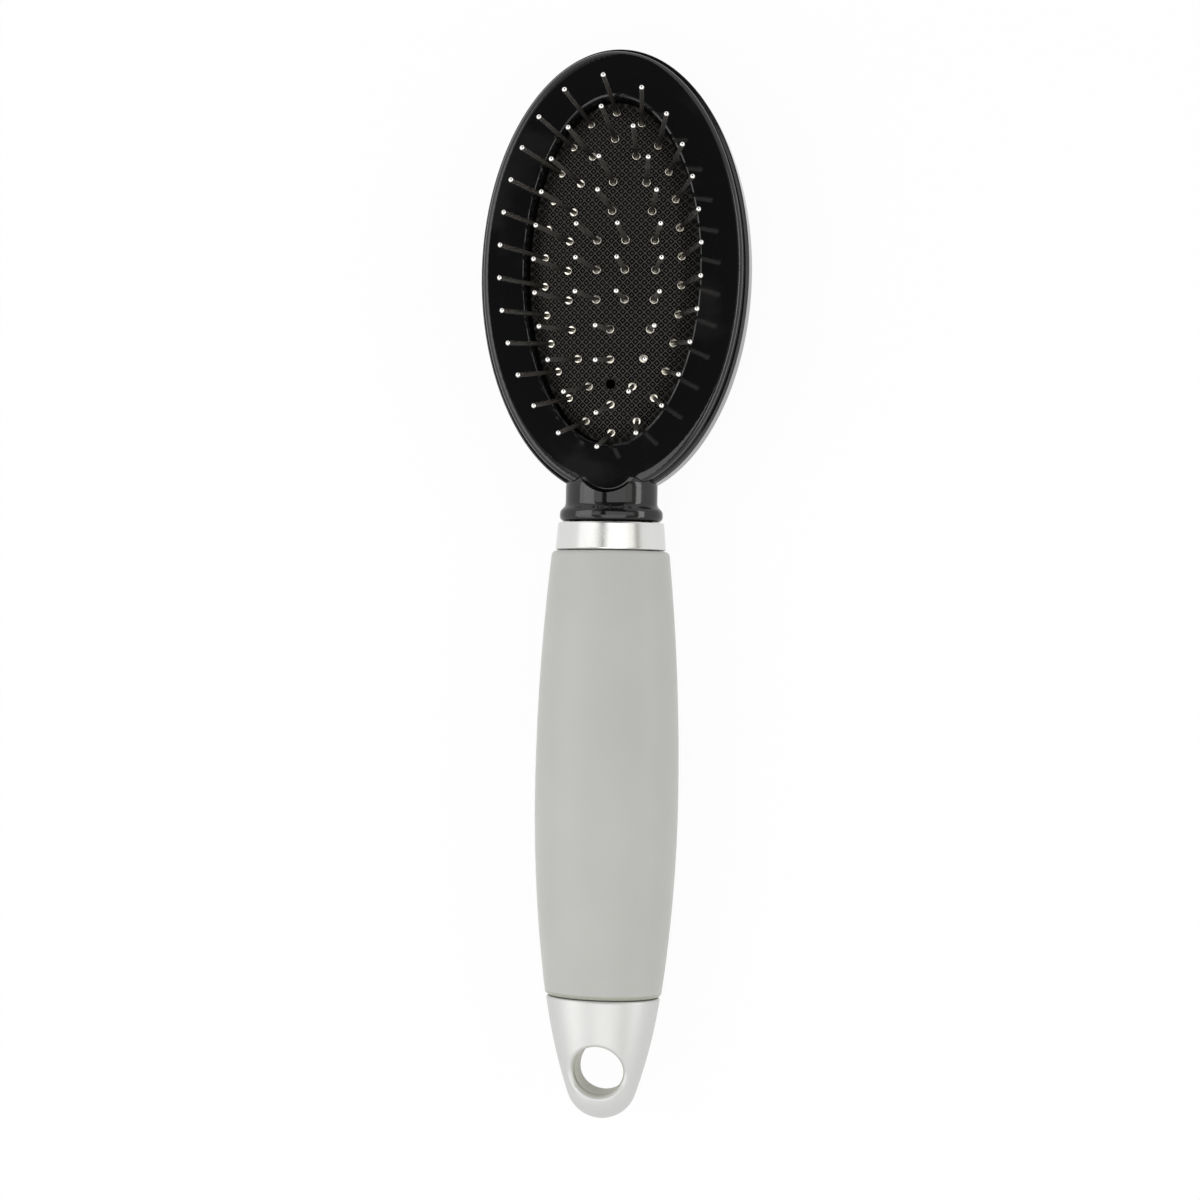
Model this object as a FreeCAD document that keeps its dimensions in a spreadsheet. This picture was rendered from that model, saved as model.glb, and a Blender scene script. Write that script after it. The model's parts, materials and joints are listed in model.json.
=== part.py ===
import FreeCAD, Part
import math
import os
from dataclasses import dataclass
from types import SimpleNamespace

import Sketcher

# An oval cushion brush that lies on its back with its pins up.
# Y runs along the brush with the head at +Y, and Z is zero at the flat of the back.

# Driving sizes in millimetres: name, value, what it is
SIZES = (
    ("total_length", 226.5, "tail tip to head top"),
    ("cut_overrun", 2, "how far a cut runs past the face that it opens"),
    # head
    ("head_width", 57.7, "back shell, widest"),
    ("head_length", 95.1, "back shell, along the brush"),
    ("back_middle_width", 18, "level middle of the back before it is trimmed"),
    ("back_trim", 0.3, "trimmed off the back for the flat that the head rests on"),
    ("side_height", 8.5, "where the side of the back shell stands upright"),
    ("rim_height", 13.1, "top of the back shell's rim"),
    ("rim_round", 0.25, "rounding of the rim's outer edge"),
    ("shell_wall", 2.2, "wall of the back shell"),
    ("parting_gap", 0.35, "groove between rim and bezel"),
    ("mould_clearance", 0.15, "fit between moulded pieces"),
    # bezel
    ("bezel_ledge", 1, "rim of the back shell outside the bezel"),
    ("bezel_side_band", 10.05, "head's edge to the bezel's opening, at the sides"),
    ("bezel_end_band", 10.85, "head's edge to the bezel's opening, at the ends"),
    ("face_height", 16.5, "bezel face above the back"),
    ("bezel_edge_round", 1.3, "rounding of the bezel's outer edge"),
    ("lip_round", 0.5, "rounding of the opening's lip"),
    ("tongue_radius", 6.6, "round tongue of the bezel at the neck"),
    ("tongue_inset", 7.3, "tongue's centre from the head's low end"),
    ("tongue_round", 0.8, "rounding of the tongue's edge"),
    # cushion
    ("seat_height", 12, "bezel's underside, which clamps the cushion's flange"),
    ("flange_thickness", 1.2, "cushion's flange"),
    ("flange_margin", 2.4, "flange outside the bezel's opening"),
    ("dome_margin", 0.5, "dome's foot inside the bezel's opening"),
    ("crown_height", 4.6, "dome above the flange"),
    ("rubber_wall", 1.6, "rubber of the dome"),
    ("rib_wall", 1.4, "rib outside the flange"),
    ("chamber_margin", 0.2, "air chamber outside the bezel's opening"),
    ("vent_diameter", 2.1, "air hole of the cushion"),
    # pins
    ("pin_length", 17.5, "pin above the cushion"),
    ("pin_diameter", 0.9, "shank"),
    ("pin_tip_diameter", 1.06, "rounded tip"),
    ("pin_collar_diameter", 1.85, "collar on the cushion"),
    ("pin_collar_height", 0.45, "collar on the cushion"),
    ("pin_collar_round", 0.22, "rounding of the collar"),
    ("pin_head_diameter", 2.2, "flat head under the cushion"),
    ("pin_head_height", 0.5, "flat head under the cushion"),
    ("pin_clearance", 0.06, "around the pin where it goes through the cushion"),
    ("ring_side_margin", 4.2, "bezel's opening to the outer ring of pins, at the sides"),
    ("ring_end_margin", 2.7, "bezel's opening to the outer ring of pins, at the ends"),
    # neck
    ("neck_width", 19.7, "neck between head and flange"),
    ("neck_overlap", 4.85, "neck's front end above the head's low end"),
    ("neck_reach", 5.34, "back of the neck's flange below the head's low end"),
    ("neck_nose_length", 2.8, "rounded front of the neck"),
    ("neck_nose_inset", 2.5, "rounded front of the neck"),
    ("neck_flange_width", 22.1, "rolled flange in front of the collar"),
    ("neck_flange_length", 1.6, "straight side of the flange"),
    ("neck_flare_length", 2.4, "flare from neck to flange"),
    ("neck_flange_round", 1.1, "rounding of the flange"),
    ("tang_width", 10, "tang in the handle"),
    ("tang_thickness", 6.4, "tang in the handle"),
    ("tang_length", 18, "tang in the handle"),
    # handle
    ("tail_joint", 25.7, "end of the tail cap from the tail tip"),
    ("piece_gap", 0.2, "fine line between pieces along the handle"),
    ("grip_width", 30.64, "grip at its belly"),
    ("grip_lift", 0.3, "grip's belly above the flat that the head rests on"),
    ("grip_front_width", 25.3, "grip at the collar"),
    ("grip_tail_width", 25, "grip at the tail cap"),
    ("grip_edge_round", 1, "rounding of the grip's ends"),
    ("core_width", 18, "bar inside the grip"),
    ("core_clearance", 0.06, "between the core and what sits on it"),
    ("collar_length", 5.86, "collar along the handle"),
    ("collar_front_width", 22.7, "collar at the neck"),
    ("collar_back_width", 23.6, "collar at the grip"),
    ("collar_round", 0.35, "rounding of the collar's edges"),
    ("tail_cap_width", 24.2, "tail cap at the grip"),
    ("tail_cap_edge_round", 0.5, "rounding of the tail cap's rim"),
    ("tail_end_radius", 7.6, "round end of the tail cap"),
    ("tail_side_radius", 110, "swell of the tail cap's side"),
    ("spigot_width", 14, "core's spigot in the tail cap"),
    ("spigot_length", 7.8, "core's spigot in the tail cap"),
    ("hang_hole_diameter", 10.6, "hanging hole"),
    ("hang_hole_place", 10.7, "hanging hole's centre from the tail tip"),
    ("hang_hole_round", 0.8, "rounding of the hanging hole's edges"),
)

# Shares: handle thickness of its width, place of the belly in the grip's length,
# small radius of the back of its side height, and dome foot of the ellipsoid that the dome is the cap of
HANDLE_THICKNESS_SHARE = 0.72
GRIP_BELLY_SHARE = 0.454
HAUNCH_SHARE = 0.73
DOME_CAP_SHARE = 0.6

# Shares of the pin field: middle ring of the outer one, centre rows of the middle ring,
# and the air hole on the way from the last centre row to the middle ring's end
MIDDLE_RING_WIDTH_SHARE = 0.637
MIDDLE_RING_LENGTH_SHARE = 0.8265
CENTRE_PAIR_SHARE = 0.3226
CENTRE_ROWS_SHARE = 0.667
VENT_SHARE = 0.55

# Pins of each ring, counted
OUTER_PIN_COUNT = 26
MIDDLE_PIN_COUNT = 20
CENTRE_ROW_COUNTS = (1, 1, 2, 2, 2, 1, 1)
ARC_STEP_COUNT = 2000

doc = FreeCAD.newDocument("grooming_brush")
sheet = doc.addObject("Spreadsheet::Sheet", "sizes")


# A size keeps its number and the sheet's expression for it
class Size:
    def __init__(self, number, text):
        self.number = number
        self.text = text

    def __add__(self, other):
        other = as_size(other)
        return Size(self.number + other.number, f"({self.text} + {other.text})")

    def __sub__(self, other):
        other = as_size(other)
        return Size(self.number - other.number, f"({self.text} - {other.text})")

    def __mul__(self, other):
        other = as_size(other)
        return Size(self.number * other.number, f"({self.text} * {other.text})")

    def __truediv__(self, other):
        other = as_size(other)
        return Size(self.number / other.number, f"({self.text} / {other.text})")


def as_size(value):
    return value if isinstance(value, Size) else Size(value, repr(value))


def fill_sheet():
    sizes = {}
    for row, (alias, value, meaning) in enumerate(SIZES, 1):
        sheet.set(f"A{row}", meaning)
        sheet.set(f"B{row}", str(value))
        sheet.setAlias(f"B{row}", alias)
        sizes[alias] = Size(value, f"sizes.{alias}")
    doc.recompute()
    return SimpleNamespace(**sizes)


ZERO = as_size(0)


# Outlines of lines and arcs, drawn as sketches
# In a sketch, point 3 of an arc is its centre, and -1 and -2 are the level and upright axes

@dataclass
class Corner:
    across: Size
    along: Size
    smooth: bool = False    # the edges that meet here are tangent
    found: bool = False     # the place follows from the tangency


@dataclass
class Bow:
    radius: Size
    side: int               # 1 swells to the left of its way, -1 to the right
    found: bool = False     # the radius follows from the tangency
    centred: bool = False   # the centre lies on the axis that the outline turns about


def draw_outline(body, name, plane_role, steps):
    sketch = body.newObject("Sketcher::SketchObject", name)
    plane = [feature for feature in body.Origin.OriginFeatures if feature.Role == plane_role][0]
    sketch.AttachmentSupport = [(plane, "")]
    sketch.MapMode = "FlatFace"
    corners = []
    bows = {}
    for step in steps:
        if isinstance(step, Corner):
            corners.append(step)
        else:
            bows[len(corners) - 1] = step
    ends = [add_edge(sketch, corners, bows.get(index), index) for index in range(len(corners))]
    for index, corner in enumerate(corners):
        before = index - 1 if index else len(corners) - 1
        kind = "Tangent" if corner.smooth else "Coincident"
        sketch.addConstraint(Sketcher.Constraint(kind, before, ends[before][1], index, ends[index][0]))
        if not corner.found:
            place_point(sketch, index, ends[index][0], "DistanceX", corner.across)
            place_point(sketch, index, ends[index][0], "DistanceY", corner.along)
        if index in bows and bows[index].centred:
            sketch.addConstraint(Sketcher.Constraint("PointOnObject", index, 3, -2))
        if index in bows and not bows[index].found:
            radius = bows[index].radius
            number = sketch.addConstraint(Sketcher.Constraint("Radius", index, radius.number))
            sketch.setExpression(f"Constraints[{number}]", radius.text)
    return sketch


def add_edge(sketch, corners, bow, index):
    first = corners[index]
    last = corners[(index + 1) % len(corners)]
    start = FreeCAD.Vector(first.across.number, first.along.number, 0)
    end = FreeCAD.Vector(last.across.number, last.along.number, 0)
    if bow is None:
        sketch.addGeometry(Part.LineSegment(start, end), False)
        return (1, 2)
    chord = end - start
    radius = max(bow.radius.number, chord.Length / 2)
    rise = radius - math.sqrt(radius ** 2 - (chord.Length / 2) ** 2)
    left = FreeCAD.Vector(-chord.y, chord.x, 0).normalize()
    middle = (start + end) / 2 + left * rise * bow.side
    if bow.side < 0:
        sketch.addGeometry(Part.Arc(start, middle, end), False)
        return (1, 2)
    sketch.addGeometry(Part.Arc(end, middle, start), False)
    return (2, 1)


def place_point(sketch, edge, point, kind, size):
    if size.number == 0:
        axis = -2 if kind == "DistanceX" else -1
        sketch.addConstraint(Sketcher.Constraint("PointOnObject", edge, point, axis))
    elif size.number > 0:
        number = sketch.addConstraint(Sketcher.Constraint(kind, -1, 1, edge, point, size.number))
        sketch.setExpression(f"Constraints[{number}]", size.text)
    else:
        below = ZERO - size
        number = sketch.addConstraint(Sketcher.Constraint(kind, edge, point, -1, 1, below.number))
        sketch.setExpression(f"Constraints[{number}]", below.text)


# Turned pieces, stretched to an oval and set in place

def turn(name, plane_role, steps):
    body = doc.addObject("PartDesign::Body", f"{name}_turning")
    sketch = draw_outline(body, f"{name}_outline", plane_role, steps)
    revolution = body.newObject("PartDesign::Revolution", f"{name}_revolution")
    revolution.Profile = sketch
    revolution.ReferenceAxis = (sketch, ["V_Axis"])
    revolution.Angle = 360
    return body


def stretch(name, body, axis, ratio, along, height):
    piece = doc.addObject("Part::Scale", name)
    piece.Base = body
    piece.Uniform = False
    piece.setExpression(f"{axis}Scale", ratio.text)
    set_place(piece, ZERO, along, height)
    return piece


def set_place(piece, across, along, height):
    piece.setExpression("Placement.Base.x", across.text)
    piece.setExpression("Placement.Base.y", along.text)
    piece.setExpression("Placement.Base.z", height.text)


def turn_head(name, steps, ratio):
    return stretch(name, turn(name, "XZ_Plane", steps), "Y", ratio, head_centre, ZERO)


def turn_handle(name, steps):
    return stretch(name, turn(name, "XY_Plane", steps), "Z", handle_ratio, tail_tip, handle_height)


def oval_prism(name, half_width, half_length, bottom, top):
    ellipse = doc.addObject("Part::Ellipse", f"{name}_oval")
    ellipse.setExpression("MajorRadius", half_length.text)
    ellipse.setExpression("MinorRadius", half_width.text)
    ellipse.Placement.Rotation = FreeCAD.Rotation(FreeCAD.Vector(0, 0, 1), 90)
    set_place(ellipse, ZERO, head_centre, bottom)
    prism = doc.addObject("Part::Extrusion", name)
    prism.Base = ellipse
    prism.DirMode = "Custom"
    prism.Dir = FreeCAD.Vector(0, 0, 1)
    prism.Solid = True
    prism.setExpression("LengthFwd", (top - bottom).text)
    return prism


def cylinder(name, radius, along, bottom, top):
    piece = doc.addObject("Part::Cylinder", name)
    piece.setExpression("Radius", radius.text)
    piece.setExpression("Height", (top - bottom).text)
    set_place(piece, ZERO, along, bottom)
    return piece


def block(name, width, length, thickness, start, height):
    piece = doc.addObject("Part::Box", name)
    piece.setExpression("Width", length.text)
    piece.setExpression("Length", width.text)
    piece.setExpression("Height", thickness.text)
    set_place(piece, ZERO - width / 2, start, height - thickness / 2)
    return piece


def join(name, *pieces):
    joined = doc.addObject("Part::MultiFuse", name)
    joined.Shapes = list(pieces)
    return joined


def cut(name, base, tool):
    result = doc.addObject("Part::Cut", name)
    result.Base = base
    result.Tool = tool
    return result


def common(name, base, tool):
    result = doc.addObject("Part::Common", name)
    result.Base = base
    result.Tool = tool
    return result


def shapes(name, solids):
    piece = doc.addObject("Part::Feature", name)
    piece.Shape = solids[0] if len(solids) == 1 else Part.makeCompound(solids)
    return piece


# Sizes that follow from the driving ones

size = fill_sheet()
head_ratio = size.head_length / size.head_width
bezel_width = size.head_width - size.bezel_ledge * 2
bezel_ratio = (size.head_length - size.bezel_ledge * 2) / bezel_width
opening_width = size.head_width - size.bezel_side_band * 2
opening_length = size.head_length - size.bezel_end_band * 2
outer_ring_width = opening_width - size.ring_side_margin * 2
outer_ring_length = opening_length - size.ring_end_margin * 2
handle_ratio = as_size(HANDLE_THICKNESS_SHARE)
tail_tip = ZERO - size.total_length / 2
head_centre = size.total_length / 2 - size.head_length / 2
handle_height = size.grip_lift + size.grip_width / 2 * HANDLE_THICKNESS_SHARE
opening_ratio = opening_length / opening_width
plate_bottom = size.rim_height + size.parting_gap
above_face = size.face_height + size.cut_overrun
tongue_place = head_centre - size.head_length / 2 + size.tongue_inset
flange_half_width = opening_width / 2 + size.flange_margin
flange_half_length = opening_length / 2 + size.flange_margin
dome_half_width = opening_width / 2 - size.dome_margin
dome_half_length = opening_length / 2 - size.dome_margin
dome_sink_share = math.sqrt(1 - DOME_CAP_SHARE ** 2)
dome_half_height = size.crown_height / (1 - dome_sink_share)
dome_centre_height = size.seat_height - dome_half_height * dome_sink_share

# Places along the handle, measured from the tail tip

head_low_end = size.total_length - size.head_length
neck_front = head_low_end + size.neck_overlap
neck_flange_start = head_low_end - size.neck_reach
collar_front = neck_flange_start - size.piece_gap
collar_back = collar_front - size.collar_length
grip_front = collar_back - size.piece_gap
grip_tail = size.tail_joint + size.piece_gap
grip_belly = grip_tail + (grip_front - grip_tail) * GRIP_BELLY_SHARE


# Head: back shell with the neck, and bezel

def disc_outline(radius, bottom, top, edge_round):
    return (
        Corner(ZERO, bottom),
        Corner(radius, bottom),
        Corner(radius, top - edge_round),
        Bow(edge_round, -1),
        Corner(radius - edge_round, top),
        Corner(ZERO, top),
    )


def back_outline(inset, bottom, top, edge_round):
    """Level middle, then a large and a small radius that turn up into the side."""
    side = size.head_width / 2 - inset
    level = size.back_middle_width / 2
    upright = size.side_height
    haunch = upright * HAUNCH_SHARE - inset
    sweep = side - level
    climb = upright - bottom
    belly = (sweep * sweep + climb * climb - sweep * haunch * 2) / ((climb - haunch) * 2)
    lean = math.atan2((sweep - haunch).number, (belly - climb).number)
    meeting_across = level + belly * math.sin(lean)
    meeting_height = bottom + belly * (1 - math.cos(lean))
    return (
        Corner(ZERO, bottom),
        Corner(level, bottom, smooth=True),
        Bow(belly, -1, found=True),
        Corner(meeting_across, meeting_height, smooth=True, found=True),
        Bow(haunch, -1),
        Corner(side, upright, smooth=True),
        Corner(side, top - edge_round),
        Bow(edge_round, -1),
        Corner(side - edge_round, top),
        Corner(ZERO, top),
    )


def bow_radius(reach, rise):
    """Radius of an arc that leaves a straight side smoothly and rises over its reach."""
    return (reach * reach + rise * rise) / (rise * 2)


def neck_outline(grow):
    barrel = size.neck_width / 2 + grow
    front = neck_front + grow
    back = neck_flange_start + size.neck_flange_length
    return (
        Corner(ZERO, back),
        Corner(barrel, back),
        Corner(barrel, front - size.neck_nose_length),
        Bow(bow_radius(size.neck_nose_length, size.neck_nose_inset), -1),
        Corner(barrel - size.neck_nose_inset, front),
        Corner(ZERO, front),
    )


def neck_flange_outline():
    start = neck_flange_start
    rim = size.neck_flange_width / 2
    neck = size.neck_width / 2
    edge = size.neck_flange_round
    flare_start = start + size.neck_flange_length
    flare_end = flare_start + size.neck_flare_length
    flare_bow = bow_radius(size.neck_flare_length / 2, (rim - neck) / 2)
    return (
        Corner(ZERO, start),
        Corner(rim - edge, start),
        Bow(edge, -1),
        Corner(rim, start + edge),
        Corner(rim, flare_start),
        Bow(flare_bow, -1),
        Corner((rim + neck) / 2, (flare_start + flare_end) / 2),
        Bow(flare_bow, 1),
        Corner(neck, flare_end),
        Corner(ZERO, flare_end),
    )


def make_back_shell():
    wall = size.shell_wall
    outside_outline = back_outline(ZERO, ZERO - size.back_trim, size.rim_height, size.rim_round)
    inside_outline = back_outline(wall, wall, size.rim_height + size.cut_overrun, size.cut_overrun)
    below_back = oval_prism(
        "below_back",
        size.head_width / 2,
        size.head_length / 2,
        ZERO - size.cut_overrun,
        ZERO,
    )
    outside = cut("back_trimmed", turn_head("back_outside", outside_outline, head_ratio), below_back)
    shell = cut("back_hollow", outside, turn_head("back_inside", inside_outline, head_ratio))
    rim = size.mould_clearance + size.rib_wall
    rib_post = oval_prism("rib_post", flange_half_width + rim, flange_half_length + rim, ZERO, size.seat_height)
    chamber = oval_prism(
        "chamber",
        opening_width / 2 + size.chamber_margin,
        opening_length / 2 + size.chamber_margin,
        ZERO,
        above_face,
    )
    pocket = oval_prism(
        "flange_pocket",
        flange_half_width + size.mould_clearance,
        flange_half_length + size.mould_clearance,
        size.seat_height - size.flange_thickness,
        above_face,
    )
    rib = cut("rib_wall_piece", common("rib_foot", rib_post, outside), join("rib_hollow", chamber, pocket))
    barrel = turn_handle("neck_barrel", neck_outline(ZERO))
    scoop = cylinder(
        "tongue_scoop",
        size.tongue_radius + size.mould_clearance,
        tongue_place,
        size.rim_height,
        above_face,
    )
    nose = cut("neck_nose", barrel, scoop)
    flange = turn_handle("neck_flange", neck_flange_outline())
    tang = block(
        "tang",
        size.tang_width,
        size.tang_length + size.neck_flange_length,
        size.tang_thickness,
        tail_tip + neck_flange_start - size.tang_length,
        handle_height,
    )
    return join("head_back_shell", shell, rib, nose, flange, tang)


def make_bezel():
    plate = turn_head(
        "bezel_plate",
        disc_outline(bezel_width / 2, plate_bottom, size.face_height, size.bezel_edge_round),
        bezel_ratio,
    )
    skirt_half_width = size.head_width / 2 - size.shell_wall - size.mould_clearance
    skirt = oval_prism(
        "bezel_skirt",
        skirt_half_width,
        skirt_half_width * head_ratio,
        size.seat_height,
        plate_bottom,
    )
    tongue_body = turn(
        "bezel_tongue",
        "XZ_Plane",
        disc_outline(size.tongue_radius, plate_bottom, size.face_height, size.tongue_round),
    )
    tongue = stretch("bezel_tongue", tongue_body, "Y", as_size(1), tongue_place, ZERO)
    opening_edge = opening_width / 2
    opening = turn_head(
        "bezel_opening",
        (
            Corner(ZERO, size.seat_height - size.cut_overrun),
            Corner(opening_edge, size.seat_height - size.cut_overrun),
            Corner(opening_edge, size.face_height - size.lip_round),
            Bow(size.lip_round, 1),
            Corner(opening_edge + size.lip_round, size.face_height),
            Corner(opening_edge + size.lip_round, above_face),
            Corner(ZERO, above_face),
        ),
        opening_ratio,
    )
    keep = cylinder("tongue_keep", size.tongue_radius, tongue_place, plate_bottom, above_face)
    room = cut("neck_room", turn_handle("neck_room_barrel", neck_outline(size.mould_clearance)), keep)
    frame = join("bezel_frame", plate, skirt, tongue)
    return cut("head_bezel", cut("bezel_ring", frame, opening), room)


# Pins: their places on the dome, and the dome itself

def dome_point(across, along):
    half_width = (dome_half_width / DOME_CAP_SHARE).number
    half_length = (dome_half_length / DOME_CAP_SHARE).number
    half_height = dome_half_height.number
    rise_share = math.sqrt(1 - (across / half_width) ** 2 - (along / half_length) ** 2)
    point = FreeCAD.Vector(across, head_centre.number + along, dome_centre_height.number + half_height * rise_share)
    normal = FreeCAD.Vector(across / half_width ** 2, along / half_length ** 2, rise_share / half_height)
    return FreeCAD.Placement(point, FreeCAD.Rotation(FreeCAD.Vector(0, 0, 1), normal))


def ring_places(width, length, count):
    """Places evenly spaced along an oval, from its top end round."""
    turn_step = 2 * math.pi / ARC_STEP_COUNT
    walked = [0]
    for step in range(ARC_STEP_COUNT):
        angle = (step + 1 / 2) * turn_step
        stride = math.hypot(width / 2 * math.cos(angle), length / 2 * math.sin(angle)) * turn_step
        walked.append(walked[-1] + stride)
    places = []
    step = 0
    for pin in range(count):
        goal = walked[-1] * pin / count
        while walked[step + 1] < goal:
            step += 1
        stride_share = (goal - walked[step]) / (walked[step + 1] - walked[step])
        angle = (step + stride_share) * turn_step
        places.append((width / 2 * math.sin(angle), length / 2 * math.cos(angle)))
    return places


def ring_rows(width, length, count):
    places = ring_places(width, length, count)
    rows = [[places[0]]]
    for pin in range(1, count // 2):
        across, along = places[pin]
        rows.append([(-across, along), (across, along)])
    rows.append([places[count // 2]])
    return rows


def centre_rows(width, length):
    last = len(CENTRE_ROW_COUNTS) - 1
    rows = []
    for row, count in enumerate(CENTRE_ROW_COUNTS):
        along = length / 2 - length * row / last
        rows.append([(0, along)] if count == 1 else [(-width / 2, along), (width / 2, along)])
    return rows


def pin_rows():
    outer_width = outer_ring_width.number
    outer_length = outer_ring_length.number
    middle_width = outer_width * MIDDLE_RING_WIDTH_SHARE
    middle_length = outer_length * MIDDLE_RING_LENGTH_SHARE
    rings = (
        ("outer", ring_rows(outer_width, outer_length, OUTER_PIN_COUNT)),
        ("middle", ring_rows(middle_width, middle_length, MIDDLE_PIN_COUNT)),
        ("centre", centre_rows(middle_width * CENTRE_PAIR_SHARE, middle_length * CENTRE_ROWS_SHARE)),
    )
    named = []
    for ring, rows in rings:
        for number, row in enumerate(rows, 1):
            named.append((f"{ring}_pins_{number:02d}", row))
    return named


def vent_place():
    middle_half = outer_ring_length.number * MIDDLE_RING_LENGTH_SHARE / 2
    centre_half = middle_half * CENTRE_ROWS_SHARE
    return (0, -centre_half - (middle_half - centre_half) * VENT_SHARE)


def make_pin():
    shank = size.pin_diameter / 2
    collar = size.pin_collar_diameter / 2
    head = size.pin_head_diameter / 2
    tip = size.pin_tip_diameter / 2
    head_top = size.rubber_wall + size.pin_clearance
    depth = head_top + size.pin_head_height
    collar_foot = depth + size.pin_clearance
    collar_top = collar_foot + size.pin_collar_height
    tip_centre = depth + size.pin_length - tip
    return turn(
        "pin",
        "XZ_Plane",
        (
            Corner(ZERO, ZERO),
            Corner(head, ZERO),
            Corner(head, size.pin_head_height),
            Corner(shank, size.pin_head_height),
            Corner(shank, collar_foot),
            Corner(collar, collar_foot),
            Corner(collar, collar_top - size.pin_collar_round),
            Bow(size.pin_collar_round, -1),
            Corner(collar - size.pin_collar_round, collar_top),
            Corner(shank, collar_top),
            Corner(shank, tip_centre - tip),
            Corner(tip, tip_centre),
            Bow(tip, -1),
            Corner(ZERO, tip_centre + tip),
        ),
    )


def make_pin_rows(pin):
    depth = size.rubber_wall.number + size.pin_clearance.number + size.pin_head_height.number
    sunk = FreeCAD.Placement(FreeCAD.Vector(0, 0, -depth), FreeCAD.Rotation())
    nodes = []
    for name, row in pin_rows():
        solids = []
        for across, along in row:
            solid = pin.Shape.copy()
            solid.Placement = dome_point(across, along) * sunk
            solids.append(solid)
        nodes.append(shapes(name, solids))
    return nodes


def make_cushion():
    half_width = dome_half_width / DOME_CAP_SHARE
    half_length = dome_half_length / DOME_CAP_SHARE
    domes = []
    for name, sink in (("dome_outside", ZERO), ("dome_inside", size.rubber_wall)):
        dome = doc.addObject("Part::Ellipsoid", name)
        dome.setExpression("Radius1", dome_half_height.text)
        dome.setExpression("Radius2", half_width.text)
        dome.setExpression("Radius3", half_length.text)
        set_place(dome, ZERO, head_centre, dome_centre_height - sink)
        domes.append(dome)
    flange = oval_prism(
        "cushion_flange",
        flange_half_width,
        flange_half_length,
        size.seat_height - size.flange_thickness,
        size.seat_height,
    )
    above = oval_prism("above_flange", flange_half_width, flange_half_length, size.seat_height, above_face)
    pad = join("pad_outside", common("dome_cap", domes[0], above), flange)
    wall = size.rubber_wall.number + size.cut_overrun.number
    holes = []
    radius = size.pin_diameter.number / 2 + size.pin_clearance.number
    places = [(place, radius) for name, row in pin_rows() for place in row]
    places.append((vent_place(), size.vent_diameter.number / 2))
    for (across, along), hole_radius in places:
        hole = Part.makeCylinder(hole_radius, 2 * wall, FreeCAD.Vector(0, 0, -wall))
        hole.Placement = dome_point(across, along)
        holes.append(hole)
    hollow = cut("pad_hollow", pad, domes[1])
    doc.recompute()
    return shapes("cushion", hollow.Shape.cut(holes).Solids)


# Handle: core, gel sleeve, collar and tail cap

def make_core():
    half = size.core_width / 2
    spigot = size.spigot_width / 2
    front = neck_flange_start - size.piece_gap / 2
    bar = turn_handle(
        "core_bar",
        (
            Corner(ZERO, grip_tail - size.spigot_length),
            Corner(spigot, grip_tail - size.spigot_length),
            Corner(spigot, grip_tail),
            Corner(half, grip_tail),
            Corner(half, front),
            Corner(ZERO, front),
        ),
    )
    socket = block(
        "tang_socket",
        size.tang_width + size.mould_clearance * 2,
        size.tang_length + size.mould_clearance + size.cut_overrun,
        size.tang_thickness + size.mould_clearance * 2,
        tail_tip + neck_flange_start - size.tang_length - size.mould_clearance,
        handle_height,
    )
    return cut("handle_core", bar, socket)


def make_grip():
    bore = size.core_width / 2 + size.core_clearance
    edge = size.grip_edge_round
    belly = size.grip_width / 2
    tail_edge = size.grip_tail_width / 2
    front_edge = size.grip_front_width / 2
    tail_bow = bow_radius(grip_belly - grip_tail - edge, belly - tail_edge)
    front_bow = bow_radius(grip_front - edge - grip_belly, belly - front_edge)
    return turn_handle(
        "grip_sleeve",
        (
            Corner(bore, grip_tail),
            Corner(tail_edge - edge, grip_tail),
            Bow(edge, -1),
            Corner(tail_edge, grip_tail + edge),
            Bow(tail_bow, -1),
            Corner(belly, grip_belly),
            Bow(front_bow, -1),
            Corner(front_edge, grip_front - edge),
            Bow(edge, -1),
            Corner(front_edge - edge, grip_front),
            Corner(bore, grip_front),
        ),
    )


def make_collar():
    bore = size.core_width / 2 + size.core_clearance
    edge = size.collar_round
    back_rim = size.collar_back_width / 2
    front_rim = size.collar_front_width / 2
    return turn_handle(
        "neck_collar",
        (
            Corner(bore, collar_back),
            Corner(back_rim - edge, collar_back),
            Bow(edge, -1),
            Corner(back_rim, collar_back + edge),
            Corner(front_rim, collar_front - edge),
            Bow(edge, -1),
            Corner(front_rim - edge, collar_front),
            Corner(bore, collar_front),
        ),
    )


def make_tail_cap():
    end = size.tail_end_radius
    rim = size.tail_cap_width / 2
    edge = size.tail_cap_edge_round
    joint = size.tail_joint
    reach = joint - edge - end
    to_rim = math.hypot(rim.number, reach.number)
    lean = math.atan2(reach.number, rim.number) - math.acos(end.number / to_rim)
    pocket = size.spigot_width / 2 + size.core_clearance
    floor = joint - size.spigot_length
    cap = turn_handle(
        "cap_turning",
        (
            Corner(ZERO, ZERO),
            Bow(end, -1, centred=True),
            Corner(end * math.cos(lean), end + end * math.sin(lean), smooth=True, found=True),
            Bow(size.tail_side_radius, -1),
            Corner(rim, joint - edge),
            Bow(edge, -1),
            Corner(rim - edge, joint),
            Corner(pocket, joint),
            Corner(pocket, floor),
            Corner(ZERO, floor),
        ),
    )
    radius = size.hang_hole_diameter / 2
    hole = cylinder("hang_hole", radius, tail_tip + size.hang_hole_place, ZERO, handle_height * 2)
    bored = cut("cap_bored", cap, hole)
    doc.recompute()
    rounded = doc.addObject("Part::Fillet", "tail_cap")
    rounded.Base = bored
    edge_round = size.hang_hole_round.number
    rounded.Edges = [(number, edge_round, edge_round) for number in bore_rims(bored.Shape)]
    return rounded


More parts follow.
